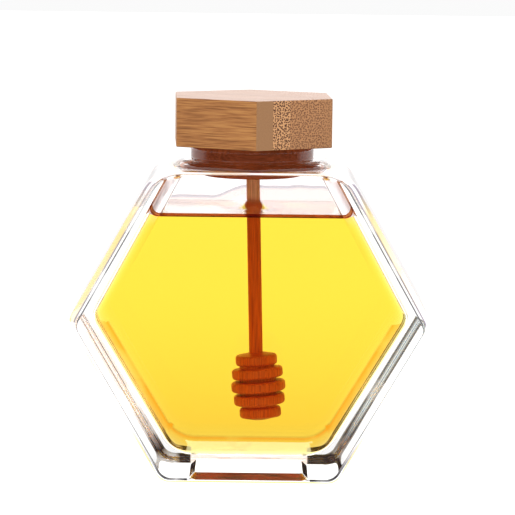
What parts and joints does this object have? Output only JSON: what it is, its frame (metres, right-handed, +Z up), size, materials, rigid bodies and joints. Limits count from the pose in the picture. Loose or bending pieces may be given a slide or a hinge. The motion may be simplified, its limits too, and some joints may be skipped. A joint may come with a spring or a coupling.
{
  "type": "hexagonal honey jar",
  "caption": "Thick six-sided glass jar of honey with a short round neck, a bamboo lid on a round stopper, and a turned wooden dipper standing in the honey.",
  "frame": {"origin": "middle of the base, on the surface the jar stands on", "axes": "+Z up, the broad hexagonal front faces -Y, +X to the right seen from the front"},
  "size_m": [0.1114, 0.058, 0.1186],
  "materials": {
    "glass": "clear pressed glass",
    "honey": "clear golden yellow honey",
    "dipper_wood": "turned wood, bare",
    "stopper_wood": "turned wood, bare",
    "bamboo": "carbonised bamboo, fine sanded, bare"
  },
  "bodies": {
    "root": {"jar": "glass", "honey": "honey", "dipper": "dipper_wood", "stopper": "stopper_wood", "lid": "bamboo"}
  },
  "joints": []
}
